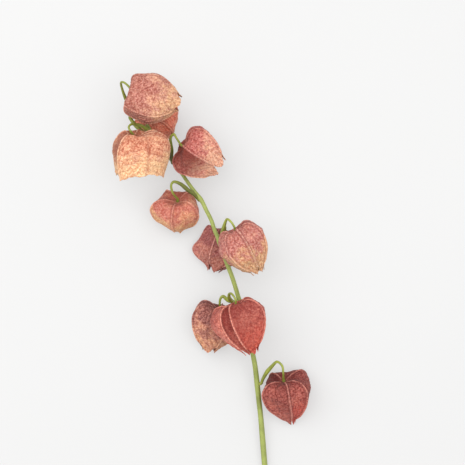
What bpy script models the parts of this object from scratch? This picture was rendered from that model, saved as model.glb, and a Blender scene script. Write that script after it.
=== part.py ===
"""Cut stem of dried physalis lanterns, lying on a table.

One main stem carries ten papery husks, each hanging from its own hooked
stalk.  Lengths are written in millimetres and turned into metres when the
meshes are made.  +Z is up and +Y runs from the cut end to the tip of the
stem.  The origin ends up under the middle of the whole stem, on the table.
"""

import math

import bmesh
import bpy
import numpy as np

MM = 0.001

# Main stem: a gently bent shoot, thick at the cut and slender at the tip.
STEM_PATH = (
    (32.0, -240.0, 2.5), (29.5, -213.5, 5.0), (26.0, -171.5, 10.5), (24.0, -153.0, 13.0),
    (22.0, -134.5, 15.5), (19.5, -116.0, 18.5), (13.0, -86.5, 23.0), (6.0, -61.0, 28.0),
    (0.5, -42.5, 32.0), (-4.5, -29.0, 34.5), (-9.5, -15.0, 36.0), (-13.0, -5.0, 36.5),
    (-16.0, 2.0, 36.5), (-19.0, 11.0, 36.5), (-23.5, 20.0, 36.0), (-28.0, 29.0, 35.5),
    (-35.0, 38.0, 34.5), (-41.5, 47.0, 33.0), (-44.5, 51.5, 32.0), (-52.5, 62.5, 32.0),
    (-65.0, 77.5, 35.5), (-73.5, 91.5, 40.0), (-77.0, 98.5, 43.0),
)
STEM_RADIUS_CUT = 2.7
STEM_RADIUS_TIP = 1.4
STEM_STATIONS = 44
STEM_SIDES = 12
NODE_SWELL = 0.45
NODE_LENGTH = 3.0

# Stalks: slim where they leave the stem, swollen half-way, slim over the hook.
STALK_STATIONS = 15
STALK_SIDES = 8
STALK_SWELLING = ((0.0, 1.1), (0.12, 1.5), (0.35, 1.95), (0.6, 1.1), (0.85, 0.9), (1.0, 1.15))
JOINT_GAP = 0.35
STALK_CLEARANCE = 0.6
STALK_LEAD = 4.5

# Husks: five panels between five raised ribs, closed at the stalk end.
PANELS = 5
STEPS_PER_PANEL = 4
STEPS_ALONG = 11
DISC_RADIUS = 2.2
WALL = 0.6

# Each husk: its stalk end (base), the direction point of its open end (tip),
# its greatest radius, its length, the depth of the dimple round the stalk, the
# radius of the mouth, and the bearing of its five ribs around its axis.
HUSKS = {
    "husk_01": dict(base=(46.5, -134.5, 30.0), tip=(53.5, -174.0, 11.0), radius=24.0, length=46.0,
                    dimple=3.5, mouth=3.0, ribs=(-68, 0, 58, 135, 212), notch=0.12, belly=0.14,
                    squash=0.9, widen=1.04, shift=(0.0, 1.5), lean=1.0, floor=True),
    "husk_02": dict(base=(4.0, -66.5, 58.0), tip=(17.0, -106.0, 54.0), radius=24.5, length=43.0,
                    dimple=5.5, mouth=6.0, ribs=(-36, -14, 57, 130, 230), notch=0.16, belly=0.17,
                    squash=0.92, widen=1.06, shift=(0.0, -1.5)),
    "husk_03": dict(base=(-11.5, -71.0, 22.0), tip=(-21.0, -108.0, 14.0), radius=24.0, length=40.0,
                    dimple=4.5, mouth=7.0, ribs=(-60, 30, 100, 170, 235), notch=0.15,
                    squash=0.75, shift=(0.0, -2.0), floor=True),
    "husk_04": dict(base=(4.0, -1.5, 58.0), tip=(23.5, -36.0, 50.0), radius=24.0, length=40.0,
                    dimple=6.0, mouth=6.0, ribs=(-36, 9, 58, 125, 225), notch=0.14,
                    squash=0.85, widen=1.03, shift=(0.0, -0.5)),
    "husk_05": dict(base=(-7.5, -0.5, 17.0), tip=(-18.0, -36.0, 12.0), radius=21.0, length=37.0,
                    dimple=2.0, mouth=7.0, ribs=(-20, 35, 120, 190, 260), notch=0.16,
                    squash=0.62, belly=0.48, floor=True),
    "husk_06": dict(base=(-49.5, 28.0, 36.0), tip=(-50.0, 1.5, 8.0), radius=21.0, length=36.0,
                    dimple=5.0, mouth=6.0, ribs=(-8, 62, 135, 208, 280), notch=0.16,
                    squash=0.9, widen=1.12, shift=(1.5, -1.5), floor=True),
    "husk_07": dict(base=(-43.0, 76.0, 48.0), tip=(-10.5, 56.5, 41.0), radius=24.0, length=38.0,
                    dimple=3.0, mouth=10.0, ribs=(-10, 52, 118, 190, 275), notch=0.14, belly=0.16,
                    squash=0.9, shift=(0.0, 2.5)),
    "husk_08": dict(base=(-86.5, 81.5, 67.0), tip=(-86.0, 49.0, 57.0), radius=26.5, length=34.5,
                    dimple=6.0, mouth=22.0, ribs=(-58, 82, 135, 185, 245), notch=0.09,
                    squash=0.75, shift=(0.0, 6.5), flare=True, puff=0.07, puff_end=0.05),
    "husk_09": dict(base=(-73.5, 103.5, 27.0), tip=(-62.0, 91.0, 3.0), radius=21.5, length=29.0,
                    dimple=4.0, mouth=8.0, ribs=(10, 82, 154, 226, 298), notch=0.12,
                    squash=0.95, widen=1.03, shift=(2.0, 2.5), floor=True),
    "husk_10": dict(base=(-85.5, 124.5, 64.0), tip=(-49.5, 106.5, 61.0), radius=23.0, length=42.0,
                    dimple=3.0, mouth=9.0, ribs=(-36, 58, 130, 200, 262), notch=0.1,
                    shift=(0.0, 1.0), lean=9.0, puff=0.07, puff_end=0.1),
}

# Stalk routes from the stem, over the hook, to the middle of the husk's dimple.
STALKS = {
    "stalk_01": ((26.0, -137.5, 16.0), (27.5, -133.5, 17.5), (31.0, -126.5, 23.0), (35.5, -120.5, 29.0),
                 (40.0, -116.0, 34.0), (44.5, -119.5, 36.0), (45.5, -126.0, 35.0), (46.5, -133.5, 31.0)),
    "stalk_02": ((5.5, -62.5, 31.0), (1.5, -63.0, 36.0), (-2.5, -59.0, 44.0), (-3.0, -54.5, 52.0),
                 (-0.5, -54.0, 59.0), (2.5, -58.5, 61.0), (4.0, -65.5, 58.5)),
    "stalk_03": ((4.5, -66.5, 27.0), (0.5, -62.5, 27.0), (-4.0, -61.0, 29.0), (-8.5, -57.5, 30.0),
                 (-11.0, -60.0, 29.5), (-11.5, -65.5, 26.5), (-11.5, -70.5, 23.0)),
    "stalk_04": ((-10.5, -8.5, 38.5), (-10.0, -4.0, 41.0), (-7.5, 5.5, 51.0), (-5.0, 11.5, 59.0),
                 (-1.5, 9.5, 63.0), (1.5, 5.0, 62.5), (4.0, -1.0, 59.0)),
    "stalk_05": ((-12.0, -8.5, 34.0), (-10.5, -4.5, 29.5), (-8.0, 2.5, 25.5), (-6.5, 5.0, 21.0),
                 (-7.5, 0.0, 17.5)),
    "stalk_06": ((-30.0, 29.0, 34.0), (-34.5, 34.0, 38.0), (-40.0, 38.0, 41.0), (-46.0, 43.0, 44.0),
                 (-52.0, 45.0, 46.0), (-54.5, 41.5, 46.0), (-53.0, 35.0, 42.0), (-49.5, 28.5, 37.0)),
    "stalk_07": ((-54.0, 62.5, 34.5), (-54.5, 66.5, 37.0), (-54.5, 73.5, 42.0), (-55.0, 83.0, 47.0),
                 (-52.0, 87.0, 50.0), (-49.5, 83.5, 51.0), (-43.5, 76.5, 48.5)),
    "stalk_08": ((-66.5, 77.5, 37.0), (-71.5, 87.0, 42.0), (-80.0, 94.0, 52.0), (-87.5, 94.5, 66.0),
                 (-90.0, 91.5, 71.5), (-88.5, 88.0, 72.0), (-86.5, 82.0, 68.0)),
    "stalk_09": ((-72.5, 88.0, 40.0), (-78.0, 88.5, 42.0), (-85.0, 94.0, 43.0), (-91.0, 101.5, 43.0),
                 (-90.5, 103.0, 42.5), (-87.0, 102.0, 41.0), (-81.0, 101.0, 37.5), (-76.0, 103.5, 30.0)),
    "stalk_10": ((-78.0, 100.0, 43.5), (-85.0, 106.5, 40.5), (-94.0, 117.0, 43.0), (-98.0, 130.0, 57.0),
                 (-95.5, 131.5, 62.5), (-91.0, 128.0, 64.0), (-88.0, 124.5, 64.0)),
}

STEM_GREEN = (0.30, 0.36, 0.10)
STALK_GREEN = (0.32, 0.40, 0.09)
HUSK_COLOURS = {
    "husk_01": (0.45, 0.10, 0.08), "husk_02": (0.50, 0.11, 0.08), "husk_03": (0.50, 0.21, 0.14),
    "husk_04": (0.52, 0.24, 0.17), "husk_05": (0.38, 0.13, 0.12), "husk_06": (0.54, 0.25, 0.17),
    "husk_07": (0.46, 0.15, 0.13), "husk_08": (0.60, 0.33, 0.20), "husk_09": (0.52, 0.20, 0.14),
    "husk_10": (0.58, 0.28, 0.18),
}


def unit(vector):
    """Return the vector at length one."""
    array = np.asarray(vector, dtype=float)
    return array / np.linalg.norm(array)


def spline(points, count):
    """Run a Catmull-Rom curve through the points and sample it at equal steps of length."""
    knots = np.asarray(points, dtype=float)
    padded = np.vstack((2 * knots[0] - knots[1], knots, 2 * knots[-1] - knots[-2]))
    spans = len(knots) - 1
    place = np.linspace(0.0, spans, spans * 24 + 1)
    index = np.minimum(place.astype(int), spans - 1)
    f = (place - index)[:, None]
    a, b, c, d = padded[index], padded[index + 1], padded[index + 2], padded[index + 3]
    fine = 0.5 * (2 * b + (c - a) * f + (2 * a - 5 * b + 4 * c - d) * f ** 2 + (3 * b - a - 3 * c + d) * f ** 3)
    run = np.concatenate(([0.0], np.cumsum(np.linalg.norm(np.diff(fine, axis=0), axis=1))))
    steps = np.linspace(0.0, run[-1], count)
    return np.stack([np.interp(steps, run, fine[:, k]) for k in range(fine.shape[1])], axis=1)


def material(name, colour, roughness):
    """Make a Principled material of one colour."""
    made = bpy.data.materials.new(name)
    made.use_nodes = True
    shader = made.node_tree.nodes["Principled BSDF"]
    shader.inputs["Base Color"].default_value = (*colour, 1.0)
    shader.inputs["Roughness"].default_value = roughness
    shader.inputs["Metallic"].default_value = 0.0
    made.diffuse_color = (*colour, 1.0)
    return made


def add_object(name, shape, colour, roughness):
    """Turn a bmesh into a smooth-shaded object with its own material."""
    bmesh.ops.recalc_face_normals(shape, faces=shape.faces[:])
    mesh = bpy.data.meshes.new(name)
    shape.to_mesh(mesh)
    shape.free()
    mesh.shade_smooth()
    mesh.materials.append(material(name + "_surface", colour, roughness))
    made = bpy.data.objects.new(name, mesh)
    bpy.context.collection.objects.link(made)
    return made


def tube(path, radii, sides):
    """Sweep a circle of changing radius along a path and close both ends."""
    tangents = np.gradient(path, axis=0)
    side = unit(np.cross(tangents[0], (0.31, 0.17, 0.93)))
    shape = bmesh.new()
    rings = []
    for centre, tangent, radius in zip(path, tangents, radii):
        forward = unit(tangent)
        side = unit(side - forward * np.dot(side, forward))
        other = np.cross(forward, side)
        ring = []
        for k in range(sides):
            turn = 2.0 * math.pi * k / sides
            offset = side * math.cos(turn) + other * math.sin(turn)
            ring.append(shape.verts.new((centre + offset * radius) * MM))
        rings.append(ring)
    for low, high in zip(rings, rings[1:]):
        for k in range(sides):
            n = (k + 1) % sides
            shape.faces.new((low[k], low[n], high[n], high[k]))
    shape.faces.new(rings[0][::-1])
    shape.faces.new(rings[-1])
    return shape


def stem_path():
    """Return the middle line of the main stem and its radius at each station."""
    path = spline(STEM_PATH, STEM_STATIONS)
    radii = np.linspace(STEM_RADIUS_CUT, STEM_RADIUS_TIP, STEM_STATIONS)
    for route in STALKS.values():
        reach = np.linalg.norm(path - np.asarray(route[0]), axis=1)
        radii = radii + NODE_SWELL * np.exp(-(reach / NODE_LENGTH) ** 2) * (reach.min() < 8.0)
    radii = np.minimum(radii, STEM_RADIUS_CUT + 0.3)
    path[:, 2] += np.interp(np.arange(STEM_STATIONS), (0, 10), (radii[0] - path[0, 2], 0.0))
    return path, radii


def stalk_path(route, husk, stem, stem_radii):
    """Return a stalk's middle line and radii, from clear of the stem to clear of its husk's disc."""
    points = np.asarray(route, dtype=float)
    fine = spline(STEM_PATH, 400)
    nearest = int(np.argmin(np.linalg.norm(fine - points[0], axis=1)))
    centre = fine[nearest]
    along = unit(fine[min(nearest + 1, 399)] - fine[max(nearest - 1, 0)])
    station = int(np.argmin(np.linalg.norm(stem - centre, axis=1)))
    skin = max(stem_radii[max(station - 1, 0):station + 2])
    heading = unit(points[1] - centre)
    lean = abs(float(np.dot(heading, along)))
    square = math.sqrt(max(1.0 - lean * lean, 0.09))
    start = STALK_SWELLING[0][1]
    reach = (skin + JOINT_GAP + start * lean) / square
    if nearest >= 398:
        reach = JOINT_GAP + (start + skin) * math.sqrt(max(1.0 - lean * lean, 0.0))
    points[0] = centre + heading * reach
    base = husk_points(husk, STEPS_PER_PANEL, STEPS_ALONG)[0].mean(axis=0)
    axis = unit(np.asarray(husk["tip"]) - np.asarray(husk["base"]))
    end = base - axis * STALK_CLEARANCE
    lead = end - axis * STALK_LEAD
    keep = [points[0]]
    for point in points[1:-1]:
        apart = min(np.linalg.norm(point - keep[-1]), np.linalg.norm(point - lead))
        past_lead = np.linalg.norm(point - lead) < 8.0 and np.dot(point - lead, axis) > 0.5
        if apart > 3.0 and not past_lead:
            keep.append(point)
    path = spline(keep + [lead, end], STALK_STATIONS)
    stations, sizes = zip(*STALK_SWELLING)
    return path, np.interp(np.linspace(0.0, 1.0, STALK_STATIONS), stations, sizes)


def husk_profile(husk, count):
    """Return radius and depth down the axis, from the stalk disc over the shoulder to the mouth."""
    radius, length, dimple, mouth = husk["radius"], husk["length"], husk["dimple"], husk["mouth"]
    belly = husk.get("belly", 0.2)
    rest = 1.0 - belly
    points = (
        (DISC_RADIUS, 0.0), (0.24 * radius, -0.5 * dimple), (0.52 * radius, -dimple),
        (0.82 * radius, -0.4 * dimple), (radius, belly * length),
        (0.84 * radius + 0.16 * mouth, (belly + 0.37 * rest) * length),
        (0.47 * radius + 0.53 * mouth, (belly + 0.67 * rest) * length),
        (0.14 * radius + 0.86 * mouth, (belly + 0.87 * rest) * length), (mouth, length),
    )
    return spline(points, count)


def husk_points(husk, per_panel, along):
    """Return the husk's outer skin as rows of points, from the stalk disc to the toothed mouth.

    Across each panel s runs from -1 at one rib to 1 at the next.  The mouth is
    cut back at the ribs, so that each panel ends in a tooth; a flared husk is
    cut back between its ribs instead.
    """
    ribs = np.radians(np.array(husk["ribs"] + (husk["ribs"][0] + 360,), dtype=float))
    panel = np.repeat(np.arange(PANELS), per_panel)
    s = np.tile(np.linspace(-1.0, 1.0, per_panel, endpoint=False), PANELS)
    bearing = ribs[panel] + (s + 1.0) * 0.5 * (ribs[panel + 1] - ribs[panel])
    if husk.get("flare", False):
        end = 1.0 - husk["notch"] * (1.0 - np.abs(s) ** 2)
    else:
        end = 1.0 - husk["notch"] * np.abs(s) ** 1.6
    t = np.linspace(0.0, 1.0, along)[:, None] * end[None, :]
    profile = husk_profile(husk, 200)
    scale = np.linspace(0.0, 1.0, 200)
    r = np.interp(t, scale, profile[:, 0])
    h = np.interp(t, scale, profile[:, 1])
    down = np.clip(h / husk["length"], 0.0, 1.0)
    clear = np.clip((r - DISC_RADIUS) / 6.0, 0.0, 1.0)
    flatness = husk.get("puff", 0.13) * (1.0 - down) + husk.get("puff_end", 0.2) * down
    r = r * (1.0 - flatness * clear * (1.0 - s[None, :] ** 2))
    crest = np.exp(-((h + 0.3 * husk["dimple"]) / (0.16 * husk["length"])) ** 2) * clear
    h = h + 2.2 * crest * (1.0 - np.abs(s[None, :]) ** 1.5)
    grown = np.clip((r - DISC_RADIUS) / 8.0, 0.0, 1.0)
    x = r * np.cos(bearing)[None, :] * (1.0 + (husk.get("squash", 1.0) - 1.0) * grown)
    y = r * np.sin(bearing)[None, :] * (1.0 + (husk.get("widen", 1.0) - 1.0) * grown)
    drift = np.clip((r - DISC_RADIUS) / 14.0, 0.0, 1.0) * (1.0 - 0.5 * down)
    shift = husk.get("shift", (0.0, 0.0))
    x = x + shift[0] * drift
    y = y + shift[1] * drift + husk.get("lean", 0.0) * down ** 2
    base = np.asarray(husk["base"], dtype=float)
    axis = unit(np.asarray(husk["tip"], dtype=float) - base)
    upward = np.array((0.0, 0.0, 1.0)) if abs(axis[2]) < 0.9 else np.array((0.0, 1.0, 0.0))
    front = unit(upward - axis * np.dot(upward, axis))
    side = np.cross(front, axis)
    points = base + h[..., None] * axis + x[..., None] * front + y[..., None] * side
    if husk.get("floor", False):
        points[..., 2] -= points[..., 2].min()
    return points


def husk_shape(points):
    """Skin the rows of points and cap the stalk end with a small disc."""
    shape = bmesh.new()
    rows = [[shape.verts.new(point * MM) for point in row] for row in points]
    for upper, lower in zip(rows, rows[1:]):
        for k in range(len(upper)):
            n = (k + 1) % len(upper)
            shape.faces.new((upper[k], upper[n], lower[n], lower[k]))
    centre = shape.verts.new(points[0].mean(axis=0) * MM)
    for k in range(len(rows[0])):
        shape.faces.new((rows[0][(k + 1) % len(rows[0])], rows[0][k], centre))
    return shape


def settle(objects):
    """Move everything so that the origin is under the middle, at the lowest point."""
    bpy.context.view_layer.update()
    graph = bpy.context.evaluated_depsgraph_get()
    corners = []
    for item in objects:
        mesh = item.evaluated_get(graph).to_mesh()
        corners.extend(tuple(vertex.co) for vertex in mesh.vertices)
    cloud = np.array(corners)
    low = cloud.min(axis=0)
    high = cloud.max(axis=0)
    move = np.array(((low[0] + high[0]) / 2.0, (low[1] + high[1]) / 2.0, low[2]))
    for item in objects:
        for vertex in item.data.vertices:
            vertex.co = np.array(vertex.co) - move


def main():
    """Build the stem, the husks and the stalks."""
    for item in list(bpy.data.objects):
        bpy.data.objects.remove(item, do_unlink=True)
    made = []
    stem, stem_radii = stem_path()
    made.append(add_object("main_stem", tube(stem, stem_radii, STEM_SIDES), STEM_GREEN, 0.55))
    for name, route in STALKS.items():
        path, radii = stalk_path(route, HUSKS[name.replace("stalk", "husk")], stem, stem_radii)
        made.append(add_object(name, tube(path, radii, STALK_SIDES), STALK_GREEN, 0.5))
    for name, husk in HUSKS.items():
        shape = husk_shape(husk_points(husk, STEPS_PER_PANEL, STEPS_ALONG))
        item = add_object(name, shape, HUSK_COLOURS[name], 0.8)
        wall = item.modifiers.new("wall", "SOLIDIFY")
        wall.thickness = WALL * MM
        wall.offset = -1.0
        made.append(item)
    settle(made)


main()
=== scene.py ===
"""Looks of a cut stem of dried physalis lanterns, lying on a pale table.

One shoot carries ten papery husks, each on its own hooked stalk.  Every
length in this file is in millimetres unless a name says otherwise, and it is
turned into metres when a mesh is made.  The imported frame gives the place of
each piece; the surfaces, veins and finishes are worked out here.
"""
from __future__ import annotations

import logging
import math
from dataclasses import dataclass, field
from enum import Enum

import bpy
import numpy as np
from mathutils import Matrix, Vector


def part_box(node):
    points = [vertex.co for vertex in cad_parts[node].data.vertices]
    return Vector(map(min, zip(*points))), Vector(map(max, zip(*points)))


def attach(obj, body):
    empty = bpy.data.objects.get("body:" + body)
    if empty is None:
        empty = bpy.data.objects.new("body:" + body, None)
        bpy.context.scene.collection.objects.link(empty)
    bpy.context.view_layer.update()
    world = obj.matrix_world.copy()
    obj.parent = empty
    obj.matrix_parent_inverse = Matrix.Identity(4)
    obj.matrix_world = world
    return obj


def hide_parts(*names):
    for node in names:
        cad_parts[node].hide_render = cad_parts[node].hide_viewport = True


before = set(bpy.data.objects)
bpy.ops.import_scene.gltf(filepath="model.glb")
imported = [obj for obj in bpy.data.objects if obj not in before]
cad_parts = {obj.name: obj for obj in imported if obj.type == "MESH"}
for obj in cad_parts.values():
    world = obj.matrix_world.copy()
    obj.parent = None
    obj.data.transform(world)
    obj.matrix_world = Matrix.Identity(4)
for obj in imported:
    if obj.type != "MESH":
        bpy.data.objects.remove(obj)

LOG = logging.getLogger("physalis")
MM = 0.001
PANELS = 5

Array = np.ndarray
Colour = tuple[float, float, float]


# --------------------------------------------------------------------------
# Small tools for vectors, curves and colours
# --------------------------------------------------------------------------


def unit(vector: Array | tuple[float, ...]) -> Array:
    """Scale vectors to length one.

    Args:
        vector: one vector, or an array whose last axis holds the components.

    Returns:
        The vector or vectors divided by their own lengths.
    """
    array = np.asarray(vector, dtype=float)
    return array / np.maximum(np.linalg.norm(array, axis=-1, keepdims=True), 1e-12)


def smooth(low: float, high: float, value: Array) -> Array:
    """Ease from 0 at low to 1 at high, as three times the square less twice the cube.

    Args:
        low: the value that gives 0.
        high: the value that gives 1.
        value: the values to ease.

    Returns:
        The eased values, from 0 to 1.
    """
    t = np.clip((value - low) / (high - low), 0.0, 1.0)
    return t * t * (3.0 - 2.0 * t)


def bell(value: Array, width: float | Array) -> Array:
    """Give e to the minus square of value over width: 1 at zero, fading on both sides."""
    return np.exp(-((value / width) ** 2))


def spline(points: Array | tuple, count: int) -> Array:
    """Run a Catmull-Rom curve through points and sample it at equal steps of length.

    Args:
        points: the knots, one row each.
        count: how many samples to return.

    Returns:
        An array of count rows along the curve.
    """
    knots = np.asarray(points, dtype=float)
    padded = np.vstack((2 * knots[0] - knots[1], knots, 2 * knots[-1] - knots[-2]))
    spans = len(knots) - 1
    place = np.linspace(0.0, spans, spans * 24 + 1)
    index = np.minimum(place.astype(int), spans - 1)
    f = (place - index)[:, None]
    a, b, c, d = padded[index], padded[index + 1], padded[index + 2], padded[index + 3]
    fine = 0.5 * (2 * b + (c - a) * f + (2 * a - 5 * b + 4 * c - d) * f**2 + (3 * b - a - 3 * c + d) * f**3)
    run = np.concatenate(([0.0], np.cumsum(np.linalg.norm(np.diff(fine, axis=0), axis=1))))
    steps = np.linspace(0.0, run[-1], count)
    return np.stack([np.interp(steps, run, fine[:, k]) for k in range(fine.shape[1])], axis=1)


def ripple(points: Array, size: float, seed: int, waves: int = 9) -> Array:
    """Add up plane sine waves of random heading and phase, as a soft repeatable noise.

    Args:
        points: places in millimetres, last axis x, y, z.
        size: the usual length of a wave, in millimetres.
        seed: which of the repeatable patterns to use.
        waves: how many sine waves to add.

    Returns:
        A value for each place, mostly from -1 to 1.
    """
    chance = np.random.default_rng(seed)
    heading = unit(chance.normal(size=(waves, 3)))
    number = 2.0 * math.pi / (size * chance.uniform(0.6, 1.6, waves))
    phase = chance.uniform(0.0, 2.0 * math.pi, waves)
    total = np.sin(points @ (heading * number[:, None]).T + phase)
    return total.sum(axis=-1) / math.sqrt(waves)


def tint(red: int, green: int, blue: int) -> Colour:
    """Turn a display colour from 0 to 255 into the linear values that shaders read.

    Args:
        red: the display red.
        green: the display green.
        blue: the display blue.

    Returns:
        The three linear values.
    """
    share = [channel / 255.0 for channel in (red, green, blue)]
    made = [s / 12.92 if s <= 0.04045 else ((s + 0.055) / 1.055) ** 2.4 for s in share]
    return (made[0], made[1], made[2])


# --------------------------------------------------------------------------
# Meshes
# --------------------------------------------------------------------------


@dataclass
class Surface:
    """A grid of points whose rows close on themselves, ready to become a mesh.

    Attributes:
        points: rows by columns by x, y, z, in millimetres.
        masks: named values for each point, which the finishes read.
        cap_start: close the first row with a middle point.
        cap_end: close the last row with a middle point.
    """

    points: Array
    masks: dict[str, Array] = field(default_factory=dict)
    cap_start: bool = True
    cap_end: bool = False

    def faces(self) -> list[tuple[int, ...]]:
        """List the quads between rows and the triangles of the caps.

        Returns:
            Vertex numbers of each face, all turning the same way.
        """
        rows, columns = self.points.shape[:2]
        low = (np.arange(rows - 1)[:, None] * columns + np.arange(columns)[None, :]).ravel()
        step = (np.arange(rows - 1)[:, None] * columns + (np.arange(columns)[None, :] + 1) % columns).ravel()
        quads = np.stack((low, step, step + columns, low + columns), axis=1)
        made = [tuple(quad) for quad in quads.tolist()]
        ring = np.arange(columns)
        after = (ring + 1) % columns
        middle = rows * columns
        if self.cap_start:
            made += [tuple(t) for t in np.stack((after, ring, np.full(columns, middle)), axis=1).tolist()]
            middle += 1
        if self.cap_end:
            last = (rows - 1) * columns
            made += [tuple(t) for t in np.stack((last + ring, last + after, np.full(columns, middle)), axis=1).tolist()]
        return made

    def flat(self, values: Array) -> Array:
        """Put grid values in vertex order and add the value of each cap's middle point.

        Args:
            values: rows by columns, with any further axes.

        Returns:
            One entry for each vertex.
        """
        made = [values.reshape((-1,) + values.shape[2:])]
        if self.cap_start:
            made.append(values[0].mean(axis=0)[None])
        if self.cap_end:
            made.append(values[-1].mean(axis=0)[None])
        return np.concatenate(made)

    def build(self, name: str, shift: Array) -> bpy.types.Object:
        """Make the mesh object, with its place in its vertices and its masks as attributes.

        Args:
            name: the object's name.
            shift: what to add to every point, in millimetres.

        Returns:
            The new object, linked and shaded smooth, with faces pointing outwards.
        """
        mesh = bpy.data.meshes.new(name)
        spots = (self.flat(self.points) + shift) * MM
        mesh.from_pydata(spots.tolist(), [], self.faces())
        for label, values in self.masks.items():
            layer = mesh.attributes.new(label, "FLOAT", "POINT")
            layer.data.foreach_set("value", self.flat(values).astype(np.float32))
        if signed_volume(mesh) < 0.0:
            mesh.flip_normals()
        mesh.shade_smooth()
        made = bpy.data.objects.new(name, mesh)
        bpy.context.scene.collection.objects.link(made)
        return made


def signed_volume(mesh: bpy.types.Mesh) -> float:
    """Sum the pyramids from the mesh's middle to its faces: positive when faces point outwards.

    Args:
        mesh: the mesh to measure.

    Returns:
        The sum, which is the volume where the mesh is closed.
    """
    mesh.calc_loop_triangles()
    count = len(mesh.loop_triangles)
    corners = np.empty(count * 3, dtype=np.int32)
    mesh.loop_triangles.foreach_get("vertices", corners)
    spots = np.empty(len(mesh.vertices) * 3)
    mesh.vertices.foreach_get("co", spots)
    spots = spots.reshape(-1, 3)
    spots = spots - spots.mean(axis=0)
    a, b, c = (spots[corners.reshape(-1, 3)[:, k]] for k in range(3))
    return float(np.einsum("ij,ij->i", a, np.cross(b, c)).sum() / 6.0)


def normals(points: Array) -> Array:
    """Find the outward direction at each point of a grid whose rows close on themselves.

    Args:
        points: rows by columns by x, y, z.

    Returns:
        The unit cross products of the steps round and along the grid.
    """
    around = np.roll(points, -1, axis=1) - np.roll(points, 1, axis=1)
    along = np.gradient(points, axis=0)
    made = unit(np.cross(around, along))
    outward = points - points.mean(axis=(0, 1))
    return made * np.sign(np.einsum("ijk,ijk->", made, outward))


def sweep(path: Array, radii: Array, turns: int) -> tuple[Array, Array]:
    """Carry a circle of changing radius along a path without letting it twist.

    Args:
        path: the middle line, one row a station.
        radii: stations by turns, the radius at each bearing.
        turns: how many points round the circle.

    Returns:
        The grid of points, and the bearing of each column in radians.
    """
    forward = unit(np.gradient(path, axis=0))
    steady = np.array((0.31, 0.17, 0.93))
    side = unit(steady - forward * (forward @ steady)[:, None])
    other = np.cross(forward, side)
    bearing = np.linspace(0.0, 2.0 * math.pi, turns, endpoint=False)
    spoke = side[:, None] * np.cos(bearing)[None, :, None] + other[:, None] * np.sin(bearing)[None, :, None]
    return path[:, None] + spoke * radii[..., None], bearing


# --------------------------------------------------------------------------
# Node graphs and shared effects
# --------------------------------------------------------------------------


class Blend(Enum):
    """Ways of laying one colour over another."""

    COVER = "MIX"
    DARKEN = "MULTIPLY"


@dataclass
class Graph:
    """A node tree with short calls for the nodes that the finishes use.

    Attributes:
        tree: the node tree to fill.
    """

    tree: bpy.types.NodeTree

    def node(self, kind: str, **settings: object) -> bpy.types.Node:
        """Add a node and set its properties.

        Args:
            kind: the node's type name.
            **settings: property names and values.

        Returns:
            The new node.
        """
        made = self.tree.nodes.new(kind)
        for key, value in settings.items():
            setattr(made, key, value)
        return made

    def feed(self, target: bpy.types.NodeSocket, value: object) -> None:
        """Link a socket to an input, or set the input's own value.

        Args:
            target: the input socket.
            value: a socket, number or colour.
        """
        if isinstance(value, bpy.types.NodeSocket):
            self.tree.links.new(value, target)
        elif isinstance(value, tuple) and len(value) == 3 and target.type == "RGBA":
            target.default_value = (*value, 1.0)
        else:
            target.default_value = value

    def mask(self, name: str) -> bpy.types.NodeSocket:
        """Read one of the mesh's named masks."""
        return self.node("ShaderNodeAttribute", attribute_name=name).outputs["Fac"]

    def sum(self, how: str, first: object, second: object = 0.0, clamp: bool = False) -> bpy.types.NodeSocket:
        """Join two values with one operation.

        Args:
            how: the operation's name, such as MULTIPLY.
            first: a socket or number.
            second: a socket or number.
            clamp: keep the result from 0 to 1.

        Returns:
            The result's socket.
        """
        made = self.node("ShaderNodeMath", operation=how, use_clamp=clamp)
        self.feed(made.inputs[0], first)
        self.feed(made.inputs[1], second)
        return made.outputs[0]

    def ramp(self, value: object, low: float, high: float) -> bpy.types.NodeSocket:
        """Stretch a value so that low gives 0 and high gives 1, with eased ends.

        Args:
            value: the socket to stretch.
            low: the value that gives 0.
            high: the value that gives 1.

        Returns:
            The stretched value's socket.
        """
        made = self.node("ShaderNodeMapRange", interpolation_type="SMOOTHSTEP")
        self.feed(made.inputs["Value"], value)
        made.inputs["From Min"].default_value = low
        made.inputs["From Max"].default_value = high
        return made.outputs["Result"]

    def over(self, share: object, under: object, top: object, how: Blend = Blend.COVER) -> bpy.types.NodeSocket:
        """Lay one colour over another.

        Args:
            share: how much of the top colour, from 0 to 1.
            under: the colour below.
            top: the colour laid over it.
            how: the way of laying it over.

        Returns:
            The mixed colour's socket.
        """
        made = self.node("ShaderNodeMix", data_type="RGBA", blend_type=how.value, clamp_factor=True)
        self.feed(made.inputs[0], share)
        self.feed(made.inputs[6], under)
        self.feed(made.inputs[7], top)
        return made.outputs[2]

    def noise(self, spot: object, scale: float, detail: float = 2.0, rough: float = 0.5) -> bpy.types.NodeSocket:
        """Read a cloudy noise.

        Args:
            spot: the place to read it at.
            scale: clouds to a metre.
            detail: how many finer layers.
            rough: how strong the finer layers are.

        Returns:
            The noise's value, around a half.
        """
        made = self.node("ShaderNodeTexNoise")
        self.feed(made.inputs["Vector"], spot)
        made.inputs["Scale"].default_value = scale
        made.inputs["Detail"].default_value = detail
        made.inputs["Roughness"].default_value = rough
        return made.outputs["Fac"]

    def bump(self, height: object, strength: float, distance: float) -> bpy.types.NodeSocket:
        """Turn a height into a normal.

        Args:
            height: the height's socket, from 0 to 1.
            strength: the share of the full effect.
            distance: how far a height of 1 stands proud, in metres.

        Returns:
            The normal's socket.
        """
        made = self.node("ShaderNodeBump")
        made.inputs["Strength"].default_value = strength
        made.inputs["Distance"].default_value = distance
        self.feed(made.inputs["Height"], height)
        return made.outputs["Normal"]


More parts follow.
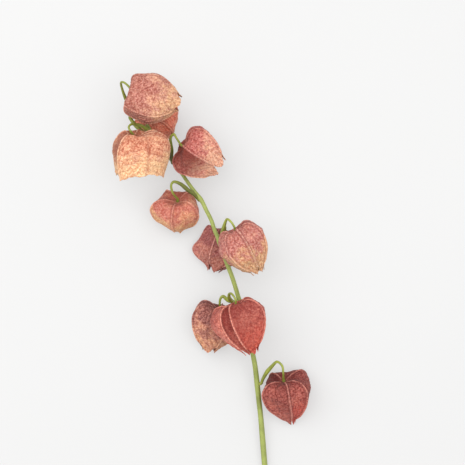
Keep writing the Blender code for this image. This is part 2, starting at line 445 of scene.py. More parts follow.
class Effects:
    """Shader effects that more than one finish uses, each built once as a node group."""

    def __init__(self) -> None:
        """Build the groups."""
        self.mottle = self._mottle()
        self.network = self._network()
        self.fibre = self._fibre()

    @staticmethod
    def _group(name: str, inputs: tuple[str, ...], outputs: tuple[str, ...]) -> tuple[bpy.types.NodeTree, Graph]:
        """Start a node group with a place to read and named values to give.

        Args:
            name: the group's name.
            inputs: names of number inputs, after the place.
            outputs: names of the values it gives.

        Returns:
            The group's tree and a graph to fill it with.
        """
        tree = bpy.data.node_groups.new(name, "ShaderNodeTree")
        tree.interface.new_socket("Spot", in_out="INPUT", socket_type="NodeSocketVector")
        for label in inputs:
            tree.interface.new_socket(label, in_out="INPUT", socket_type="NodeSocketFloat")
        for label in outputs:
            tree.interface.new_socket(label, in_out="OUTPUT", socket_type="NodeSocketFloat")
        return tree, Graph(tree)

    def _mottle(self) -> bpy.types.NodeTree:
        """Make freckles, broad blotches and fine grain for dry skin.

        Returns:
            A group that gives Freckle, Blotch and Grain, each from 0 to 1.
        """
        tree, g = self._group("dry_mottle", ("Spread",), ("Freckle", "Blotch", "Grain"))
        source = g.node("NodeGroupInput")
        sink = g.node("NodeGroupOutput")
        spot = source.outputs["Spot"]
        fine = g.noise(spot, 620.0, 3.0, 0.6)
        broad = g.noise(spot, 95.0, 3.0, 0.55)
        lift = g.sum("MULTIPLY", source.outputs["Spread"], 0.08)
        freckle = g.ramp(g.sum("ADD", fine, lift), 0.46, 0.66)
        g.feed(sink.inputs["Freckle"], freckle)
        g.feed(sink.inputs["Blotch"], g.ramp(broad, 0.34, 0.66))
        g.feed(sink.inputs["Grain"], g.noise(spot, 2100.0, 2.0, 0.6))
        return tree

    def _network(self) -> bpy.types.NodeTree:
        """Make the fine net of veins in a dry calyx, from the borders of warped cells.

        Returns:
            A group that gives Net, 1 along a vein and 0 in a cell.
        """
        tree, g = self._group("vein_network", ("Cells", "Width"), ("Net",))
        source = g.node("NodeGroupInput")
        sink = g.node("NodeGroupOutput")
        warp = g.node("ShaderNodeTexNoise")
        g.feed(warp.inputs["Vector"], source.outputs["Spot"])
        warp.inputs["Scale"].default_value = 260.0
        bent = g.node("ShaderNodeMix", data_type="VECTOR")
        bent.inputs[0].default_value = 0.004
        g.feed(bent.inputs[4], source.outputs["Spot"])
        g.feed(bent.inputs[5], warp.outputs["Color"])
        cells = g.node("ShaderNodeTexVoronoi", feature="DISTANCE_TO_EDGE")
        g.feed(cells.inputs["Vector"], bent.outputs[1])
        g.feed(cells.inputs["Scale"], source.outputs["Cells"])
        near = g.sum("DIVIDE", cells.outputs["Distance"], source.outputs["Width"], clamp=True)
        g.feed(sink.inputs["Net"], g.sum("SUBTRACT", 1.0, near, clamp=True))
        return tree

    def _fibre(self) -> bpy.types.NodeTree:
        """Make long pale and dark streaks that run along a shoot.

        Returns:
            A group that gives Streak and Fleck, each from 0 to 1.
        """
        tree, g = self._group("shoot_fibre", ("Length",), ("Streak", "Fleck"))
        source = g.node("NodeGroupInput")
        sink = g.node("NodeGroupOutput")
        stretch = g.node("ShaderNodeMapping")
        g.feed(stretch.inputs["Vector"], source.outputs["Spot"])
        stretch.inputs["Scale"].default_value = (14.0, 60.0, 1.0)
        streak = g.noise(stretch.outputs["Vector"], 1.0, 4.0, 0.6)
        g.feed(sink.inputs["Streak"], g.ramp(streak, 0.36, 0.66))
        cells = g.node("ShaderNodeTexVoronoi")
        g.feed(cells.inputs["Vector"], stretch.outputs["Vector"])
        g.feed(cells.inputs["Scale"], source.outputs["Length"])
        g.feed(sink.inputs["Fleck"], g.ramp(cells.outputs["Distance"], 0.22, 0.08))
        return tree


# --------------------------------------------------------------------------
# Finishes
# --------------------------------------------------------------------------


@dataclass(frozen=True)
class PaperSkin:
    """The dry papery skin of one husk.

    Attributes:
        rose: colour of the body near the stalk.
        sand: paler colour of the panels' middles.
        straw: colour towards the mouth.
        red_and_glow: saturated red laid over chosen panels: partly their own red, partly painted glow of light shining
            through the thin paper.
        ridge: pale colour of the flecks between the freckles, and of the painted highlight along the ribs.
        dark_and_shade: dark colour of the veins and flecks, and of the painted shade in the grooves, dark panels and
            dimple.
        age: how strong the pale mottling is, from 0 to 1.
        crest_highlight: how strong the painted highlight along the ribs is, from 0 to 1.
        pale_from: share of the length where the body turns to sand.
        dry_from: share of the length where it turns to straw.
    """

    rose: Colour
    sand: Colour
    straw: Colour
    red_and_glow: Colour
    ridge: Colour
    dark_and_shade: Colour
    age: float = 0.5
    crest_highlight: float = 0.5
    pale_from: float = 0.3
    dry_from: float = 0.75

    def make(self, name: str, effects: Effects) -> bpy.types.Material:
        """Build the husk's material.

        Args:
            name: the material's name.
            effects: the shared node groups.

        Returns:
            The material, ready to use.
        """
        made = bpy.data.materials.new(name)
        made.use_nodes = True
        g = Graph(made.node_tree)
        shader = made.node_tree.nodes["Principled BSDF"]
        spot = g.node("ShaderNodeTexCoord").outputs["Object"]
        mottle = g.node("ShaderNodeGroup", node_tree=effects.mottle)
        g.feed(mottle.inputs["Spot"], spot)
        mottle.inputs["Spread"].default_value = self.age
        net = g.node("ShaderNodeGroup", node_tree=effects.network)
        g.feed(net.inputs["Spot"], spot)
        net.inputs["Cells"].default_value = 330.0
        net.inputs["Width"].default_value = 0.14
        lie = g.node("ShaderNodeCombineXYZ")
        g.feed(lie.inputs[0], g.mask("run"))
        g.feed(lie.inputs[1], g.mask("turn"))
        fibre = g.node("ShaderNodeGroup", node_tree=effects.fibre)
        g.feed(fibre.inputs["Spot"], lie.outputs[0])
        fibre.inputs["Length"].default_value = 1.1
        rib, groove, vein = g.mask("rib"), g.mask("groove"), g.mask("vein")
        down, glow, fold_shade = g.mask("down"), g.mask("glow"), g.mask("fold_shade")
        blotch = mottle.outputs["Blotch"]
        freckle = mottle.outputs["Freckle"]
        streak = fibre.outputs["Streak"]
        # Body: rose round the stalk, breaking into sand further down in blotches and streaks.
        uneven = g.sum("SUBTRACT", g.sum("ADD", g.sum("MULTIPLY", blotch, 0.5), g.sum("MULTIPLY", streak, 0.2)), 0.35)
        reach = g.sum("ADD", down, uneven)
        colour = g.over(g.ramp(reach, self.pale_from - 0.22, self.pale_from + 0.28), self.rose, self.sand)
        # Mouth: straw creeps up from the teeth, further where the blotches allow it.
        colour = g.over(g.ramp(reach, self.dry_from - 0.15, self.dry_from + 0.3), colour, self.straw)
        # Painted glow: red of light shining through the thin paper, laid over chosen panels along with their own red.
        colour = g.over(glow, colour, self.red_and_glow)
        # Freckles and veins of the body colour, and pale flecks between them.
        colour = g.over(g.sum("MULTIPLY", freckle, 0.55), colour, self.rose, Blend.DARKEN)
        pale = g.sum("SUBTRACT", 1.0, freckle)
        colour = g.over(g.sum("MULTIPLY", pale, self.age * 0.5), colour, self.ridge)
        colour = g.over(g.sum("MULTIPLY", streak, 0.30), colour, self.rose, Blend.DARKEN)
        colour = g.over(g.sum("MULTIPLY", fibre.outputs["Fleck"], 0.35), colour, self.dark_and_shade)
        colour = g.over(g.sum("MULTIPLY", net.outputs["Net"], 0.34), colour, self.rose, Blend.DARKEN)
        colour = g.over(g.sum("MULTIPLY", vein, 0.42), colour, self.dark_and_shade)
        # Painted shade darkens the grooves beside the ribs, the dark panels and the dimple, and a painted highlight
        # runs pale along the crest of each rib, broken up in places.
        colour = g.over(g.sum("MULTIPLY", groove, 0.55), colour, self.dark_and_shade)
        colour = g.over(fold_shade, colour, self.dark_and_shade)
        # Painted highlight along the crest of each rib, broken up by the freckles.
        crest_highlight = g.sum("MULTIPLY", rib, g.sum("ADD", g.sum("MULTIPLY", pale, 0.6), 0.4))
        colour = g.over(g.sum("MULTIPLY", crest_highlight, self.crest_highlight), colour, self.ridge)
        g.feed(shader.inputs["Base Color"], colour)
        rough = g.sum("ADD", g.sum("MULTIPLY", freckle, 0.12), 0.66)
        g.feed(shader.inputs["Roughness"], rough)
        height = g.sum("ADD", g.sum("MULTIPLY", net.outputs["Net"], 0.55), g.sum("MULTIPLY", mottle.outputs["Grain"], 0.5))
        height = g.sum("ADD", height, g.sum("MULTIPLY", streak, 0.9))
        g.feed(shader.inputs["Normal"], g.bump(height, 0.6, 0.0006))
        shader.inputs["Specular IOR Level"].default_value = 0.2
        shader.inputs["Sheen Weight"].default_value = 0.03
        shader.inputs["Sheen Roughness"].default_value = 0.5
        shader.inputs["Subsurface Weight"].default_value = 0.12
        shader.inputs["Subsurface Radius"].default_value = (1.0, 0.45, 0.25)
        shader.inputs["Subsurface Scale"].default_value = 0.0015
        made.diffuse_color = (*self.rose, 1.0)
        return made


@dataclass(frozen=True)
class ShootSkin:
    """The skin of the green shoot and its stalks.

    Attributes:
        green: the main colour.
        light: colour of the pale streaks.
        dark: colour of the dark blotches and flecks, and of the painted shade.
        blush: colour of the red-brown tinge.
        pith: colour of a cut face.
        gloss: how rough the skin is.
    """

    green: Colour
    light: Colour
    dark: Colour
    blush: Colour
    pith: Colour
    gloss: float = 0.45

    def make(self, name: str, effects: Effects) -> bpy.types.Material:
        """Build the shoot's material.

        Args:
            name: the material's name.
            effects: the shared node groups.

        Returns:
            The material, ready to use.
        """
        made = bpy.data.materials.new(name)
        made.use_nodes = True
        g = Graph(made.node_tree)
        shader = made.node_tree.nodes["Principled BSDF"]
        spot = g.node("ShaderNodeTexCoord").outputs["Object"]
        lie = g.node("ShaderNodeCombineXYZ")
        g.feed(lie.inputs[0], g.mask("run"))
        g.feed(lie.inputs[1], g.mask("turn"))
        fibre = g.node("ShaderNodeGroup", node_tree=effects.fibre)
        g.feed(fibre.inputs["Spot"], lie.outputs[0])
        fibre.inputs["Length"].default_value = 1.4
        mottle = g.node("ShaderNodeGroup", node_tree=effects.mottle)
        g.feed(mottle.inputs["Spot"], spot)
        mottle.inputs["Spread"].default_value = 0.0
        colour = g.over(g.sum("MULTIPLY", fibre.outputs["Streak"], 0.55), self.green, self.light)
        colour = g.over(g.sum("MULTIPLY", mottle.outputs["Blotch"], 0.35), colour, self.dark)
        colour = g.over(g.sum("MULTIPLY", fibre.outputs["Fleck"], 0.18), colour, self.dark)
        # Painted shade at the joints, along parts of the stalks and where they enter the husks.
        colour = g.over(g.mask("shade"), colour, self.dark)
        colour = g.over(g.sum("MULTIPLY", g.mask("blush"), 0.75), colour, self.blush)
        colour = g.over(g.mask("pith"), colour, self.pith)
        g.feed(shader.inputs["Base Color"], colour)
        rough = g.sum("ADD", g.sum("MULTIPLY", mottle.outputs["Freckle"], 0.18), self.gloss)
        g.feed(shader.inputs["Roughness"], rough)
        height = g.sum("ADD", g.sum("MULTIPLY", fibre.outputs["Streak"], 0.6), g.sum("MULTIPLY", mottle.outputs["Grain"], 0.4))
        g.feed(shader.inputs["Normal"], g.bump(height, 0.4, 0.00018))
        shader.inputs["Specular IOR Level"].default_value = 0.35
        shader.inputs["Subsurface Weight"].default_value = 0.06
        shader.inputs["Subsurface Radius"].default_value = (0.4, 0.7, 0.2)
        shader.inputs["Subsurface Scale"].default_value = 0.001
        made.diffuse_color = (*self.green, 1.0)
        return made


@dataclass(frozen=True)
class TableTop:
    """The pale seamless table under the stem.

    Attributes:
        white: its colour.
        lift: a faint light of its own, which keeps shadows soft.
    """

    white: Colour
    lift: float

    def make(self, name: str) -> bpy.types.Material:
        """Build the table's material.

        Args:
            name: the material's name.

        Returns:
            The material, ready to use.
        """
        made = bpy.data.materials.new(name)
        made.use_nodes = True
        g = Graph(made.node_tree)
        shader = made.node_tree.nodes["Principled BSDF"]
        spot = g.node("ShaderNodeTexCoord").outputs["Object"]
        grain = g.ramp(g.noise(spot, 3.0, 2.0), 0.3, 0.7)
        dim = tuple(channel * 0.985 for channel in self.white)
        g.feed(shader.inputs["Base Color"], g.over(grain, self.white, dim))
        shader.inputs["Roughness"].default_value = 0.9
        shader.inputs["Specular IOR Level"].default_value = 0.1
        shader.inputs["Emission Color"].default_value = (1.0, 1.0, 1.0, 1.0)
        shader.inputs["Emission Strength"].default_value = self.lift
        return made


# --------------------------------------------------------------------------
# The shoot and its stalks
# --------------------------------------------------------------------------

STEM_PATH = (
    (32.0, -240.0, 2.5), (29.5, -213.5, 5.0), (26.0, -171.5, 10.5), (24.0, -153.0, 13.0),
    (22.0, -134.5, 15.5), (19.5, -116.0, 18.5), (13.0, -86.5, 23.0), (6.0, -61.0, 28.0),
    (0.5, -42.5, 32.0), (-4.5, -29.0, 34.5), (-9.5, -15.0, 36.0), (-13.0, -5.0, 36.5),
    (-16.0, 2.0, 36.5), (-19.0, 11.0, 36.5), (-23.5, 20.0, 36.0), (-28.0, 29.0, 35.5),
    (-35.0, 38.0, 34.5), (-41.5, 47.0, 33.0), (-44.5, 51.5, 32.0), (-52.5, 62.5, 32.0),
    (-65.0, 77.5, 35.5), (-73.5, 91.5, 40.0), (-77.0, 98.5, 43.0),
)


@dataclass
class MainStem:
    """The bent main shoot, from its cut end to its slender tip.

    Attributes:
        path: knots of its middle line.
        joints: where the stalks leave it.
        radius_cut: its radius at the cut.
        radius_tip: its radius at the tip.
        stations: steps along it.
        turns: steps round it.
    """

    path: tuple[tuple[float, float, float], ...]
    joints: tuple[tuple[float, float, float], ...]
    radius_cut: float = 2.7
    radius_tip: float = 1.4
    stations: int = 520
    turns: int = 48
    shift: Array = field(default_factory=lambda: np.zeros(3))

    def line(self, count: int) -> Array:
        """Return the middle line: the spline through the knots, with its cut end raised to rest on the table.

        Args:
            count: how many stations to return.

        Returns:
            The stations, one row each.
        """
        made = spline(self.path, count)
        share = np.linspace(0.0, 1.0, count)
        made[:, 2] += np.interp(share, (0.0, 10.0 / 43.0), (self.radius_cut - made[0, 2], 0.0))
        return made

    def girth(self, line: Array) -> Array:
        """Return the radius along the line: an even taper, with a small swelling at each joint.

        Args:
            line: the middle line.

        Returns:
            The radius at each station.
        """
        radius = np.linspace(self.radius_cut, self.radius_tip, len(line))
        for joint in self.joints:
            apart = np.linalg.norm(line - np.asarray(joint), axis=1)
            radius = radius + 0.42 * bell(apart, 3.2) * (apart.min() < 8.0)
        return radius

    def surface(self) -> Surface:
        """Return the skin: low lengthwise ridges on the tapered tube, and a dished cut face.

        Returns:
            The grid with the masks that the shoot's finish reads.
        """
        line = self.line(self.stations)
        radius = self.girth(line)
        share = np.linspace(0.0, 1.0, self.stations)
        run = share * np.linalg.norm(np.diff(line, axis=0), axis=1).sum()
        bearing = np.linspace(0.0, 2.0 * math.pi, self.turns, endpoint=False)
        ridge = 0.035 * np.cos(5.0 * bearing[None, :] + 2.2 * share[:, None])
        waver = 0.025 * np.sin(run[:, None] / 9.0 + 2.0 * bearing[None, :])
        grown = radius[:, None] * (1.0 + ridge + waver)
        skin, bearing = sweep(line, grown, self.turns)
        near = np.zeros(self.stations)
        for joint in self.joints:
            near = np.maximum(near, bell(np.linalg.norm(line - np.asarray(joint), axis=1), 2.2))
        low = bell(run, 75.0)
        masks = {
            "run": np.repeat((run * MM)[:, None], self.turns, axis=1),
            "turn": np.broadcast_to(np.abs(bearing - math.pi)[None, :] / math.pi, skin.shape[:2]).copy(),
            "shade": 0.25 * near[:, None] * np.ones(self.turns)[None, :],
            "blush": (0.75 * low[:, None] + 0.1) * smooth(0.1, 0.9, np.cos(bearing - 2.4))[None, :],
            "pith": np.zeros(skin.shape[:2]),
        }
        inner, face = self._cut_face(skin, line)
        points = np.concatenate((inner, skin))
        full = {key: np.concatenate((np.repeat(value[:1], len(inner), axis=0), value)) for key, value in masks.items()}
        full["pith"][: len(inner)] = face[:, None]
        full["shade"][: len(inner)] = 0.0
        full["blush"][: len(inner)] = 0.0
        return Surface(points, full, cap_start=True, cap_end=True)

    @staticmethod
    def _cut_face(skin: Array, line: Array) -> tuple[Array, Array]:
        """Make rings across the cut: each shrinks towards the middle and sinks a little at the pith.

        Args:
            skin: the shoot's skin.
            line: its middle line.

        Returns:
            The rings from the middle outwards, and how pale each is.
        """
        shrink = np.array((0.12, 0.3, 0.45, 0.7, 0.9, 0.985))
        sink = np.array((0.5, 0.42, 0.1, 0.04, 0.0, -0.03))
        pale = np.array((0.75, 0.8, 1.0, 1.0, 0.9, 0.3))
        along = unit(line[1] - line[0])
        rings = line[0] + (skin[0] - line[0])[None] * shrink[:, None, None]
        return rings + along[None, None] * sink[:, None, None], pale

    def place(self) -> None:
        """Find the shift from the shoot's own middle to the middle of its CAD node."""
        points = self.surface().points.reshape(-1, 3)
        low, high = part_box("main_stem")
        middle = (np.array(low) + np.array(high)) / 2.0 / MM
        self.shift = middle - (points.min(axis=0) + points.max(axis=0)) / 2.0


@dataclass
class Stalk:
    """One hooked stalk, from the shoot to the dimple of its husk.

    Attributes:
        route: knots from the joint over the hook.
        lead: how far it runs straight before the husk.
        swelling: pairs of place along it and radius there.
        dark: how shaded its lower half is.
    """

    route: tuple[tuple[float, float, float], ...]
    lead: float = 3.2
    swelling: tuple[tuple[float, float], ...] = (
        (0.0, 1.75), (0.05, 1.25), (0.12, 1.4), (0.33, 1.95), (0.58, 1.1), (0.8, 0.9), (0.94, 1.05), (1.0, 1.55),
    )
    dark: float = 0.0
    stations: int = 150
    turns: int = 28

    def line(self, end: Array, axis: Array, root: Array) -> Array:
        """Return the middle line through the route's knots and down into the dimple.

        Args:
            end: where it meets the husk.
            axis: the husk's direction from its stalk to its mouth.
            root: a point inside the shoot, where it starts.

        Returns:
            The stations, one row each.
        """
        last = end + axis * 0.35
        lead = end - axis * self.lead
        keep = [root, np.asarray(self.route[0], dtype=float)]
        for knot in self.route[1:-1]:
            spot = np.asarray(knot, dtype=float)
            gap = float(np.linalg.norm(spot - lead))
            if gap > 3.0 and not (gap < 8.0 and float(np.dot(spot - lead, axis)) > 0.5):
                keep.append(spot)
        return spline(keep + [lead, last], self.stations)

    def surface(self, end: Array, axis: Array, root: Array) -> Surface:
        """Return the skin: a tube that swells half-way and flares where it meets the husk.

        Args:
            end: where it meets the husk.
            axis: the husk's direction.
            root: a point inside the shoot, where it starts.

        Returns:
            The grid with the masks that the stalk's finish reads.
        """
        line = self.line(end, axis, root)
        share = np.linspace(0.0, 1.0, self.stations)
        places, sizes = zip(*self.swelling)
        radius = np.interp(share, places, sizes)
        radius = np.convolve(np.pad(radius, 6, mode="edge"), np.ones(13) / 13.0, mode="valid")
        bearing = np.linspace(0.0, 2.0 * math.pi, self.turns, endpoint=False)
        ridge = 0.04 * np.cos(5.0 * bearing[None, :] + 3.0 * share[:, None])
        skin, bearing = sweep(line, radius[:, None] * (1.0 + ridge), self.turns)
        run = share * np.linalg.norm(np.diff(line, axis=0), axis=1).sum()
        ones = np.ones(self.turns)[None, :]
        under = smooth(-0.1, 0.9, -np.sin(bearing))[None, :]
        masks = {
            "run": (run * MM)[:, None] * ones,
            "turn": (np.abs(bearing - math.pi) / math.pi)[None, :] * np.ones((self.stations, 1)),
            "shade": np.clip(self.dark * bell(share - 0.25, 0.3)[:, None] * (0.6 + 0.4 * under)
                             + 0.5 * smooth(0.93, 1.0, share)[:, None], 0.0, 1.0),
            "blush": 0.25 * bell(share, 0.08)[:, None] * ones,
            "pith": np.zeros(skin.shape[:2]),
        }
        return Surface(skin, masks, cap_start=True, cap_end=True)


# --------------------------------------------------------------------------
# Husks
# --------------------------------------------------------------------------


@dataclass
class Husk:
    """One papery lantern of five panels between five raised ribs, closed round its stalk.

    Attributes:
        base: where the stalk meets it.
        tip: a point towards its mouth.
        radius: its greatest radius.
        length: from the stalk to the mouth.
        dimple: how deep the stalk's dimple is.
        mouth: radius of the mouth.
        ribs: bearings of the ribs round the axis, in degrees.
        notch: share of the length cut back between teeth.
        belly: share of the length at which it is widest.
        squash: share of its depth that is left as it lies.
        widen: stretch of its width.
        shift: sideways drift of the body from the stalk, front and side.
        lean: sideways bend of the mouth.
        flare: a bell mouth, cut back between its ribs.
        puff: how flat the panels are at the shoulder.
        puff_end: how flat they are at the mouth.
        rests: whether it lies on the table.
        sink: how far each panel is pushed in.
        glow: how much red and painted glow, light shining through the thin paper, each panel has.
        fold_shade: how much painted shade each panel has.
        shade_tilt: how much painted shade each panel gains towards its second rib, or its first where negative.
        fade: how far that painted shade clears towards the mouth, from 0 to 1.
        knob: a lump on a rib: its bearing, place along, spread and height.
        seed: which of the repeatable wrinkle patterns it has.
    """

    base: tuple[float, float, float]
    tip: tuple[float, float, float]
    radius: float
    length: float
    dimple: float
    mouth: float
    ribs: tuple[float, ...]
    notch: float
    belly: float = 0.2
    squash: float = 1.0
    widen: float = 1.0
    shift: tuple[float, float] = (0.0, 0.0)
    lean: float = 0.0
    flare: bool = False
    puff: float = 0.13
    puff_end: float = 0.2
    rests: bool = False
    sink: tuple[float, ...] = (0.0, 0.0, 0.0, 0.0, 0.0)
    glow: tuple[float, ...] = (0.0, 0.0, 0.0, 0.0, 0.0)
    fold_shade: tuple[float, ...] = (0.0, 0.0, 0.0, 0.0, 0.0)
    shade_tilt: tuple[float, ...] = (0.0, 0.0, 0.0, 0.0, 0.0)
    fade: float = 0.0
    knob: tuple[float, float, float, float] = (0.0, 0.5, 1.0, 0.0)
    seed: int = 1
    disc: float = 2.2
    wall: float = 0.35
    per_panel: int = 34
    along: int = 104

    def frame(self) -> tuple[Array, Array, Array]:
        """Return the husk's axis, its front direction and its side direction.

        Returns:
            Three unit vectors; the front looks up as far as the axis allows.
        """
        axis = unit(np.asarray(self.tip) - np.asarray(self.base))
        upward = np.array((0.0, 0.0, 1.0)) if abs(axis[2]) < 0.9 else np.array((0.0, 1.0, 0.0))
        front = unit(upward - axis * np.dot(upward, axis))
        return axis, front, np.cross(front, axis)

    def profile(self, count: int) -> Array:
        """Return radius and depth from the stalk's disc, over the shoulder, to the mouth.

        Args:
            count: how many samples.

        Returns:
            Rows of radius and depth.
        """
        rest = 1.0 - self.belly
        knots = (
            (self.disc, 0.0), (0.24 * self.radius, -0.5 * self.dimple), (0.52 * self.radius, -self.dimple),
            (0.82 * self.radius, -0.4 * self.dimple), (self.radius, self.belly * self.length),
            (0.84 * self.radius + 0.16 * self.mouth, (self.belly + 0.37 * rest) * self.length),
            (0.47 * self.radius + 0.53 * self.mouth, (self.belly + 0.67 * rest) * self.length),
            (0.14 * self.radius + 0.86 * self.mouth, (self.belly + 0.87 * rest) * self.length),
            (self.mouth, self.length),
        )
        return spline(knots, count)

    def surface(self) -> Surface:
        """Return the outer skin with its ribs, veins, wrinkles and teeth.

        Across a panel s runs from -1 at one rib to 1 at the next.  The radius
        is the profile's, less a share that grows with one minus s squared, so
        each panel is a shallow chord between its ribs.  The shoulder stands
        highest at the ribs.  Then every point moves along the normal: up on
        the crest of a rib, down beside it, up along the mid-vein and the side
        veins, and by two sizes of wrinkle.

        Returns:
            The grid, in the frame of the whole stem, with its masks.
        """
        q = np.linspace(-1.0, 1.0, self.per_panel, endpoint=False)
        s = np.tile(np.sin(0.5 * math.pi * q) * 0.55 + q * 0.45, PANELS)
        panel = np.repeat(np.arange(PANELS), self.per_panel)
        ribs = np.radians(np.array((*self.ribs, self.ribs[0] + 360.0)))
        half = (ribs[panel + 1] - ribs[panel]) / 2.0
        bearing = ribs[panel] + (s + 1.0) * half
        ragged = 0.008 * np.sin(9.0 * bearing + self.seed) + 0.006 * np.sin(23.0 * bearing + 2.0 * self.seed)
        if self.flare:
            end = 1.0 - self.notch * (1.0 - np.abs(s) ** 2) + ragged
        else:
            end = 1.0 - 0.4 * self.notch * np.abs(s) ** 1.1 - 0.75 * self.notch * np.abs(s) ** 5 + ragged
        rows = np.linspace(0.0, 1.0, self.along) ** 0.94
        t = rows[:, None] * end[None, :]
        profile = self.profile(400)
        scale = np.linspace(0.0, 1.0, 400)
        r = np.interp(t, scale, profile[:, 0])
        h = np.interp(t, scale, profile[:, 1])
        down = np.clip(h / self.length, 0.0, 1.0)
        clear = np.clip((r - self.disc) / 6.0, 0.0, 1.0)
        s_row = s[None, :]
        flatness = self.puff * (1.0 - down) + self.puff_end * down
        r = r * (1.0 - flatness * clear * (1.0 - s_row**2))
        crest = bell(h + 0.3 * self.dimple, 0.16 * self.length) * clear
        h = h + 2.2 * crest * (1.0 - np.abs(s_row) ** 1.5)
        grown = np.clip((r - self.disc) / 8.0, 0.0, 1.0)
        x = r * np.cos(bearing)[None, :] * (1.0 + (self.squash - 1.0) * grown)
        y = r * np.sin(bearing)[None, :] * (1.0 + (self.widen - 1.0) * grown)
        drift = np.clip((r - self.disc) / 14.0, 0.0, 1.0) * (1.0 - 0.5 * down)
        x = x + self.shift[0] * drift
        y = y + self.shift[1] * drift + self.lean * down**2
        axis, front, side = self.frame()
        points = np.asarray(self.base) + h[..., None] * axis + x[..., None] * front + y[..., None] * side
        masks = self._masks(s_row, half[None, :] * r, t, h, down, clear, panel)
        lift = self._relief(points, s_row, masks, clear, panel, t, bearing)
        points = points + normals(points) * lift[..., None]
        return Surface(points, masks, cap_start=True, cap_end=False)

    def _masks(
        self, s: Array, reach: Array, t: Array, h: Array, down: Array, clear: Array, panel: Array
    ) -> dict[str, Array]:
        """Work out where the ribs, veins and dry parts are, and where the painted shade and painted glow go.

        Args:
            s: place across the panel.
            reach: millimetres from the panel's middle to its rib.
            t: place along the profile.
            h: depth down the axis.
            down: the same as a share of the length.
            clear: 0 at the disc, 1 away from it.
            panel: which panel each column is in.

        Returns:
            Named masks from 0 to 1, each rows by columns.
        """
        from_rib = (1.0 - np.abs(s)) * reach
        from_mid = np.abs(s) * reach
        rib = bell(from_rib, 0.55) * (0.25 + 0.75 * clear)
        # Groove: the strip beside each rib, sunk in the relief and darkened with painted shade.
        groove = bell(from_rib - 1.25, 0.6) * clear
        mid = bell(from_mid, 0.4) * clear * 0.8
        # Side veins leave the mid-vein and sweep towards the mouth as they near the rib.
        slant = t * 9.5 - np.abs(s) * 1.7 + 0.35 * np.sin(2.4 * t * self.length / 9.0 + panel[None, :] * 1.7)
        wave = np.abs((slant % 1.0) - 0.5) * 2.0
        side = bell(1.0 - wave, 0.22) * clear * smooth(1.0, 0.75, np.abs(s)) * 0.75
        # Painted shade in the dimple round the stalk, and a little on the shoulder beside it.
        dimple = smooth(0.30, 0.02, t) * smooth(0.9, 0.2, t * 3.0)
        shoulder = smooth(0.0, self.dimple, -h + 0.35 * self.dimple)
        edge = np.minimum(smooth(-1.0, -0.86, s), smooth(1.0, 0.86, s))
        # Painted glow of light through the thin paper, with the panels' own red, kept off the ribs and growing towards
        # the mouth.
        red_and_glow = np.asarray(self.glow)[panel][None, :] * edge * smooth(0.12, 0.6, down)
        # Painted shade: each panel's own share, and a darkening towards one rib, clearing towards the mouth by fade.
        shade_tilt = np.asarray(self.shade_tilt)[panel][None, :]
        shade = (np.asarray(self.fold_shade)[panel][None, :] + np.abs(shade_tilt) * (0.5 + 0.5 * np.sign(shade_tilt) * s)) * edge * clear
        shade = shade * (1.0 - self.fade * smooth(0.25, 0.75, down))
        along, across = t * self.length * 1.15 * MM, np.abs(s) * reach * MM
        return {
            "rib": rib,
            "groove": groove * (0.55 + 0.45 * (1.0 - down)),
            "vein": np.clip(mid + side, 0.0, 1.0),
            "down": down * np.ones_like(t),
            "run": 5.7 * (along * 0.77 + across * 0.64),
            "turn": 13.3 * (across * 0.77 - along * 0.64) + panel[None, :] * 0.37,
            "glow": np.clip(red_and_glow, 0.0, 1.0),
            # Painted shade of the panels, the dimple and the shoulder.
            "fold_shade": np.clip(shade + 0.5 * dimple + 0.08 * shoulder, 0.0, 1.0),
        }

    def _relief(
        self, points: Array, s: Array, masks: dict[str, Array], clear: Array, panel: Array, t: Array, bearing: Array
    ) -> Array:
        """Work out how far each point moves along its normal.

        Args:
            points: the smooth skin.
            s: place across the panel.
            masks: the masks of the skin.
            clear: 0 at the disc, 1 away from it.
            panel: which panel each column is in.
            t: place along the profile.
            bearing: the angle of each column round the axis, in radians.

        Returns:
            Millimetres outwards, rows by columns.
        """
        inside = 1.0 - np.abs(s) ** 2
        soft = ripple(points, 17.0, self.seed)
        crease = ripple(points, 6.0, self.seed + 50) + 0.6 * ripple(points, 3.4, self.seed + 80)
        pushed = np.asarray(self.sink)[panel][None, :] * (1.0 - np.abs(s) ** 2.4) * smooth(0.05, 0.35, t)
        lift = 0.6 * masks["rib"] - 0.3 * masks["groove"] + 0.28 * masks["vein"]
        turn, place, spread, height = self.knob
        off = (np.degrees(bearing)[None, :] - turn + 180.0) % 360.0 - 180.0
        lump = height * bell(np.radians(off) * self.radius, spread) * bell((t - place) * self.length, spread)
        wander = 0.5 * soft * (0.35 + 0.65 * inside)
        return clear * (lift + 1.3 * wander + inside * 0.24 * crease - pushed) + lump


# --------------------------------------------------------------------------
# The whole stem
# --------------------------------------------------------------------------

DUSTY = PaperSkin(
    rose=tint(186, 104, 92), sand=tint(216, 158, 132), straw=tint(232, 190, 140), red_and_glow=tint(214, 88, 66),
    ridge=tint(226, 170, 152), dark_and_shade=tint(104, 44, 38),
)


